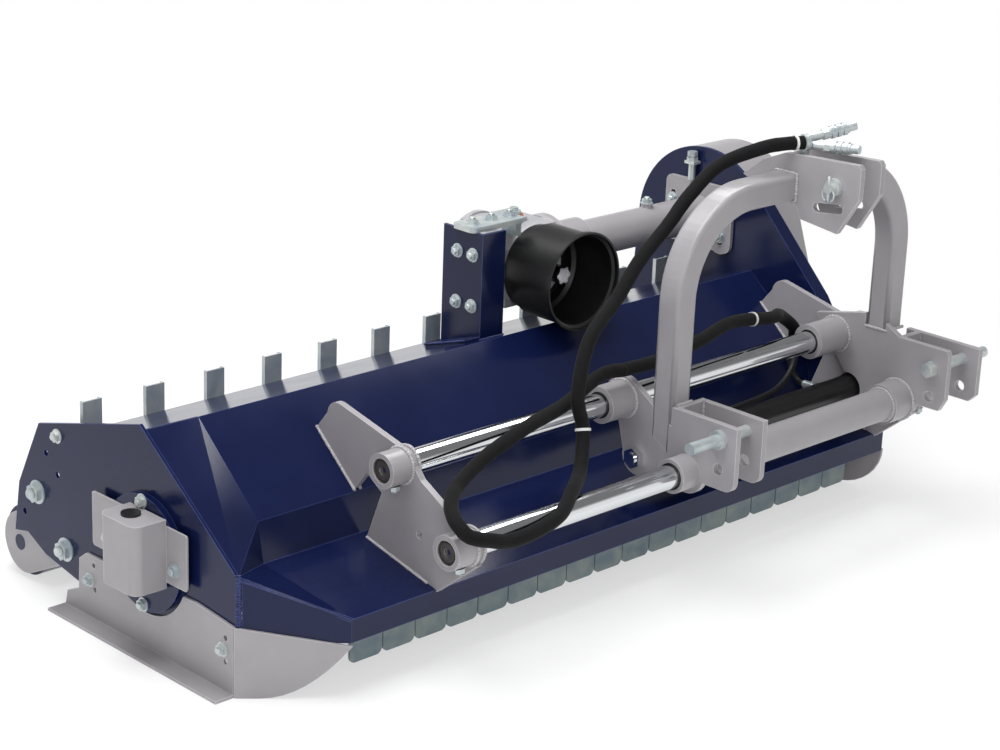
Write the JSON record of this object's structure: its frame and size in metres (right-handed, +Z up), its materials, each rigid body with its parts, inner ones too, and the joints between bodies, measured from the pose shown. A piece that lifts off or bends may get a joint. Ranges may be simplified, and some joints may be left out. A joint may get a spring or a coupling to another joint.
{
  "type": "flail mower",
  "caption": "Tractor-mounted flail mower: folded hood over a hammer rotor, belt drive, gearbox, hydraulic side shift headstock, skids and rear roller.",
  "frame": {"origin": "on the ground, under the middle of the machine's outline", "axes": "+X along the rotor towards the belt drive, +Y from the tractor towards the rear roller, +Z up"},
  "size_m": [1.77, 1.0028, 0.8267],
  "materials": {
    "navy_paint": "gloss navy powder coat",
    "gray_paint": "satin warm gray powder coat",
    "zinc_plate": "bright zinc plated steel",
    "chrome_bar": "hard chromed and polished bar",
    "cast_alloy": "as-cast alloy with silver paint",
    "forged_steel": "forged and hardened steel",
    "cast_wheel": "turned cast iron",
    "black_plastic": "moulded black polyethylene",
    "black_bush": "black acetal",
    "belt_rubber": "rubber with fabric cover",
    "woven_sleeve": "black woven protective sleeve",
    "hose_rubber": "black hydraulic hose",
    "black_paint": "black enamel"
  },
  "bodies": {
    "deck": {"end_plate_left": "navy_paint", "end_plate_right": "navy_paint", "hood": "navy_paint", "shaft_bracket_left": "gray_paint", "shaft_bracket_right": "gray_paint", "slide_shafts": "chrome_bar", "shaft_end_caps": "black_plastic", "rakes": "zinc_plate", "gearbox_bracket": "navy_paint", "gearbox_strap": "zinc_plate", "gearbox_housing": "cast_alloy", "gearbox_plugs": "zinc_plate", "pto_guard": "black_plastic", "drive_tube": "gray_paint", "tensioner_plate": "gray_paint", "tensioner_bolt": "zinc_plate", "belt_cover": "gray_paint", "drive_belts": "belt_rubber", "skid_left": "gray_paint", "skid_right": "gray_paint", "body_bolts": "zinc_plate", "rotor_end_cover": "gray_paint", "cover_plug": "black_plastic", "rotor_bearings": "navy_paint", "counter_bar": "navy_paint", "flap_rod": "zinc_plate", "cylinder_barrel": "black_paint", "cylinder_fittings": "zinc_plate", "hose_run": "woven_sleeve", "cylinder_hoses": "hose_rubber"},
    "headstock": {"hitch_arch": "gray_paint", "top_link_clevis": "gray_paint", "top_link_pin": "zinc_plate", "slide_plate_left": "gray_paint", "slide_plate_right": "gray_paint", "hitch_lugs": "gray_paint", "slide_sleeves": "gray_paint", "slide_bushes": "black_bush", "lower_link_pins": "zinc_plate", "cylinder_rod": "chrome_bar", "hose_loop": "woven_sleeve", "hose_couplings": "zinc_plate"},
    "rotor": {"rotor_tube": "navy_paint", "hammer_pins": "zinc_plate", "rotor_pulley": "cast_wheel"},
    "hammer_row_1": {"hammers_1": "forged_steel"},
    "hammer_row_2": {"hammers_2": "forged_steel"},
    "hammer_row_3": {"hammers_3": "forged_steel"},
    "hammer_row_4": {"hammers_4": "forged_steel"},
    "upper_drive": {"drive_shaft": "chrome_bar", "drive_pulley": "cast_wheel"},
    "input_shaft": {"pto_shaft": "chrome_bar"},
    "roller_carrier": {"roller_arms": "gray_paint"},
    "roller": {"rear_roller": "navy_paint"},
    "flap_group_1": {"flaps_1": "zinc_plate"},
    "flap_group_2": {"flaps_2": "zinc_plate"},
    "flap_group_3": {"flaps_3": "zinc_plate"},
    "flap_group_4": {"flaps_4": "zinc_plate"},
    "flap_group_5": {"flaps_5": "zinc_plate"},
    "flap_group_6": {"flaps_6": "zinc_plate"}
  },
  "joints": [
    {"name": "headstock_slide", "type": "slide", "parent": "deck", "child": "headstock", "axis": [-1, 0, 0], "range_m": [0, 0.44], "deforming": ["hose_loop", "hose_run"]},
    {"name": "rotor_spin", "type": "hinge", "parent": "deck", "child": "rotor", "pos_m": [-0.02, 0.0345, 0.182], "axis": [1, 0, 0], "continuous": true},
    {"name": "hammer_swing_1", "type": "hinge", "parent": "rotor", "child": "hammer_row_1", "pos_m": [-0.02, 0.09107, 0.23857], "axis": [1, 0, 0], "range_deg": [0, 270]},
    {"name": "hammer_swing_2", "type": "hinge", "parent": "rotor", "child": "hammer_row_2", "pos_m": [-0.02, -0.02207, 0.23857], "axis": [1, 0, 0], "range_deg": [-270, 0]},
    {"name": "hammer_swing_3", "type": "hinge", "parent": "rotor", "child": "hammer_row_3", "pos_m": [-0.02, -0.02207, 0.12543], "axis": [1, 0, 0], "range_deg": [-180, 90]},
    {"name": "hammer_swing_4", "type": "hinge", "parent": "rotor", "child": "hammer_row_4", "pos_m": [-0.02, 0.09107, 0.12543], "axis": [1, 0, 0], "range_deg": [-90, 180]},
    {"name": "upper_drive_spin", "type": "hinge", "parent": "deck", "child": "upper_drive", "pos_m": [0.495, 0.1975, 0.486], "axis": [1, 0, 0], "continuous": true},
    {"name": "input_spin", "type": "hinge", "parent": "deck", "child": "input_shaft", "pos_m": [0.183, 0.0965, 0.486], "axis": [0, 1, 0], "continuous": true},
    {"name": "roller_tilt", "type": "hinge", "parent": "deck", "child": "roller_carrier", "pos_m": [-0.02, 0.2785, 0.105], "axis": [1, 0, 0], "range_deg": [-6, 8]},
    {"name": "roller_spin", "type": "hinge", "parent": "roller_carrier", "child": "roller", "pos_m": [-0.02, 0.4355, 0.066], "axis": [1, 0, 0], "continuous": true},
    {"name": "flap_swing_1", "type": "hinge", "parent": "deck", "child": "flap_group_1", "pos_m": [-0.02, -0.3065, 0.112], "axis": [1, 0, 0], "range_deg": [-20, 75]},
    {"name": "flap_swing_2", "type": "hinge", "parent": "deck", "child": "flap_group_2", "pos_m": [-0.02, -0.3065, 0.112], "axis": [1, 0, 0], "range_deg": [-20, 75]},
    {"name": "flap_swing_3", "type": "hinge", "parent": "deck", "child": "flap_group_3", "pos_m": [-0.02, -0.3065, 0.112], "axis": [1, 0, 0], "range_deg": [-20, 75]},
    {"name": "flap_swing_4", "type": "hinge", "parent": "deck", "child": "flap_group_4", "pos_m": [-0.02, -0.3065, 0.112], "axis": [1, 0, 0], "range_deg": [-20, 75]},
    {"name": "flap_swing_5", "type": "hinge", "parent": "deck", "child": "flap_group_5", "pos_m": [-0.02, -0.3065, 0.112], "axis": [1, 0, 0], "range_deg": [-20, 75]},
    {"name": "flap_swing_6", "type": "hinge", "parent": "deck", "child": "flap_group_6", "pos_m": [-0.02, -0.3065, 0.112], "axis": [1, 0, 0], "range_deg": [-20, 75]}
  ],
  "couplings": [
    {"joint": "upper_drive_spin", "follows": "rotor_spin", "ratio": 0.76191},
    {"joint": "input_spin", "follows": "rotor_spin", "ratio": 0.25397}
  ]
}
